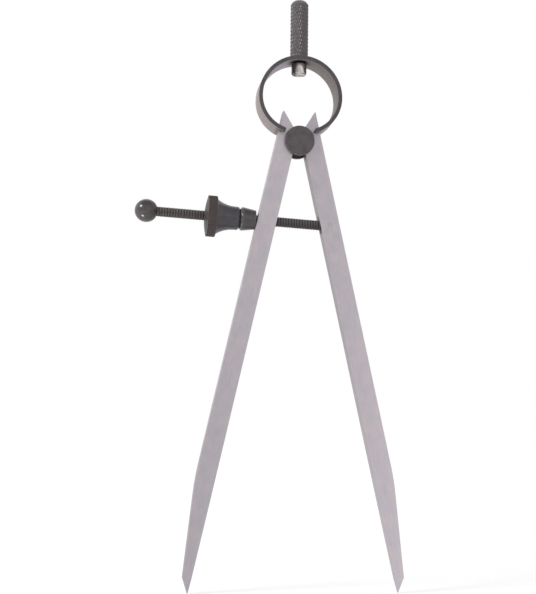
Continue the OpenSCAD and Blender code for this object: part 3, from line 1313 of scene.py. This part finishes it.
@dataclass(frozen=True)
class Washer:
    """The loose conical washer between the nut and the left leg."""

    at: float = start_on_screw("swivel_washer")
    bore: float = 1.66 * MM
    bore_ease: float = 0.1 * MM
    length: float = 5.15 * MM
    nose: float = 3.14 * MM
    nose_ease: float = 0.08 * MM
    radius: float = 3.86 * MM
    round: float = 0.95 * MM
    round_steps: int = 8
    steps: int = 128
    rows: float = 0.5 * MM
    rub_turn: float = 10.0
    rubbed: float = 0.3
    finish: Finish = BlackOxide("black_washer", dark=(0.042, 0.037, 0.041), pale=(0.060, 0.054, 0.059),
                                ior=1.65, roughness=(0.14, 0.22))

    def build(self) -> None:
        """Makes the washer."""
        end = self.at + self.length
        middle = (self.radius - self.round, end - self.round)
        edge = arc(middle, self.round, 0.0, math.pi / 2, self.round_steps)
        profile = [Corner(self.bore, self.at, self.bore_ease), Corner(self.nose, self.at, self.nose_ease),
                   *edge, Corner(self.bore, end, self.bore_ease), Corner(self.bore, self.at)]
        bm = turned(profile, self.steps, self.rows)
        rub_edges(bm, self.rub_turn, self.rubbed)
        bmesh.ops.transform(bm, matrix=ON_SCREW, verts=bm.verts)
        put("swivel_washer_turned", bm, self.finish, "swivel_washer", body=Body.WASHER)


@dataclass(frozen=True)
class Lamp:
    """A square lamp that faces the object."""

    name: str
    place: Vector
    aim: Vector
    size: float
    radiance: float
    beam: float = math.pi

    def build(self) -> None:
        """Hangs the lamp."""
        data = bpy.data.lights.new(self.name, "AREA")
        data.shape = "SQUARE"
        data.size = self.size
        data.energy = self.radiance * math.pi * self.size ** 2
        data.spread = self.beam
        lamp = bpy.data.objects.new(self.name, data)
        lamp.location = self.place
        lamp.rotation_mode = "QUATERNION"
        lamp.rotation_quaternion = (self.aim - self.place).to_track_quat("-Z", "Y")
        lamp.visible_camera = False
        bpy.context.scene.collection.objects.link(lamp)


@dataclass(frozen=True)
class Studio:
    """The white room, its lamps and the camera.

    The camera's place, aim, roll and focal length are fitted to the photograph. Each reach is the span over
    which a light changes: along a direction for the room, in metres for the floor.
    """

    camera_at: Vector = FULCRUM + Vector((-64.733, -412.903, -94.019)) * MM
    aim: Vector = FULCRUM + Vector((-9.4045, 0.0, -51.4945)) * MM
    roll: float = 0.0126
    focal_px: float = 1287.69
    image_px: float = 594.0
    sensor: float = 36.0
    clip: float = 0.01
    near_light: float = 0.61
    near_reach: Pair = (-0.95, 0.35)
    side_light: float = 0.35
    side_way: Vector = Vector((0.64, -0.76, -0.10))
    side_reach: Pair = (0.70, 1.0)
    overhead: float = 0.65
    overhead_reach: Pair = (0.55, 0.9)
    ahead_reach: Pair = (0.2, 0.5)
    floor_size: float = 6.0
    floor_cells: int = 8
    floor_gap: float = 0.1 * MM
    floor_white: float = 0.62
    floor_glow: Pair = (0.375, 0.48)
    floor_reach: Pair = (0.15, 0.9)
    floor_shine: Pair = (0.10, 0.30)
    shine_reach: Pair = (-0.3, 0.3)
    lamps: tuple[Lamp, ...] = (
        Lamp("upper_left", place=Vector((-0.78, -0.37, 0.52)), aim=Vector((-0.02, 0.0, -0.09)), size=0.28,
             radiance=15.0),
        Lamp("lower_left", place=PIVOT + Vector((-0.1225, -0.037, -0.1024)), aim=BALL, size=0.042,
             radiance=0.40, beam=math.radians(30)),
    )

    def camera(self) -> None:
        """Sets the camera where the photograph was taken from."""
        data = bpy.data.cameras.new("camera")
        data.sensor_width = self.sensor
        data.lens = self.focal_px / self.image_px * self.sensor
        data.clip_start = self.clip
        camera = bpy.data.objects.new("camera", data)
        camera.location = self.camera_at
        look = (self.aim - self.camera_at).to_track_quat("-Z", "Y")
        camera.rotation_mode = "QUATERNION"
        camera.rotation_quaternion = look @ Matrix.Rotation(self.roll, 3, "Z").to_quaternion()
        bpy.context.scene.collection.objects.link(camera)
        bpy.context.scene.camera = camera

    def world(self) -> None:
        """Makes a white surround, dimmer on the photographer's side and, in reflections, overhead."""
        world = bpy.data.worlds.new("studio")
        world.use_nodes = True
        graph = Graph(world.node_tree)
        way = graph.add("TexCoord").outputs["Generated"]
        depth = graph.part(way, "Y")
        room = graph.between(depth, self.near_light, 1.0, *self.near_reach)
        facing = graph.measure("DOT_PRODUCT", way, self.side_way)
        side = graph.between(facing, 0.0, self.side_light, *self.side_reach)
        above = graph.between(graph.part(way, "Z"), 0.0, self.overhead, *self.overhead_reach)
        ahead = graph.between(depth, 1.0, 0.0, *self.ahead_reach)
        glossy = graph.add("LightPath").outputs["Is Glossy Ray"]
        lost = graph.calc("MULTIPLY", graph.calc("MULTIPLY", above, ahead), glossy)
        level = graph.calc("MULTIPLY", graph.calc("ADD", room, side), graph.calc("SUBTRACT", 1.0, lost))
        dim = graph.add("Background", {"Color": level, "Strength": 1.0})
        white = graph.add("Background", {"Color": (*WHITE, 1.0), "Strength": 1.0})
        mixed = graph.add("MixShader", {0: graph.shown(), 1: dim.outputs[0], 2: white.outputs[0]})
        graph.add("OutputWorld", {"Surface": mixed.outputs[0]})
        bpy.context.scene.world = world

    def paint(self) -> bpy.types.Material:
        """Makes the floor's white, which glows just so much that the object's shadow still shows.

        Returns:
            The material.
        """
        paint = bpy.data.materials.new("white_floor")
        paint.use_nodes = True
        graph = Graph(paint.node_tree)
        place = graph.add("TexCoord").outputs["Object"]
        level = graph.between(graph.measure("LENGTH", place), *self.floor_glow, *self.floor_reach)
        shine = graph.between(graph.part(place, "Y"), *self.floor_shine, *self.shine_reach)
        glossy = graph.add("LightPath").outputs["Is Glossy Ray"]
        glow = graph.calc("MULTIPLY_ADD", glossy, shine, graph.calc("MULTIPLY", graph.shown(), level))
        light = graph.add("Emission", {"Color": (*WHITE, 1.0), "Strength": glow})
        matt = graph.add("BsdfDiffuse", {"Color": (self.floor_white,) * 3 + (1.0,)})
        both = graph.add("AddShader", {0: light.outputs[0], 1: matt.outputs[0]})
        graph.add("OutputMaterial", {"Surface": both.outputs[0]})
        return paint

    def floor(self) -> None:
        """Lays the floor under the points."""
        bm = bmesh.new()
        bmesh.ops.create_grid(bm, x_segments=self.floor_cells, y_segments=self.floor_cells,
                              size=self.floor_size / 2)
        bmesh.ops.translate(bm, verts=bm.verts, vec=(0, 0, CAD_BOX[0].z - self.floor_gap))
        mesh = bpy.data.meshes.new("floor")
        bm.to_mesh(mesh)
        bm.free()
        floor = bpy.data.objects.new("floor", mesh)
        bpy.context.scene.collection.objects.link(floor)
        mesh.materials.append(self.paint())

    def build(self) -> None:
        """Makes the room, hangs the lamps and sets the camera."""
        bpy.context.scene.view_settings.view_transform = "Standard"
        self.camera()
        self.world()
        self.floor()
        for lamp in self.lamps:
            lamp.build()


def main() -> None:
    """Builds the studio and the compass, piece by piece."""
    logging.basicConfig(level=logging.INFO, format="%(message)s")
    Studio().build()
    legs = (Leg(Side.LEFT, top=1.08, tip=0.89), Leg(Side.RIGHT, top=1.0, tip=1.15))
    for maker in (*legs, PivotPin(), FulcrumStud(), Bow(), Grip(), GripScrew(), AdjustingScrew(), Nut(),
                  Washer()):
        LOG.info("making %s", type(maker).__name__)
        maker.build()


if __name__ == "__main__":
    main()
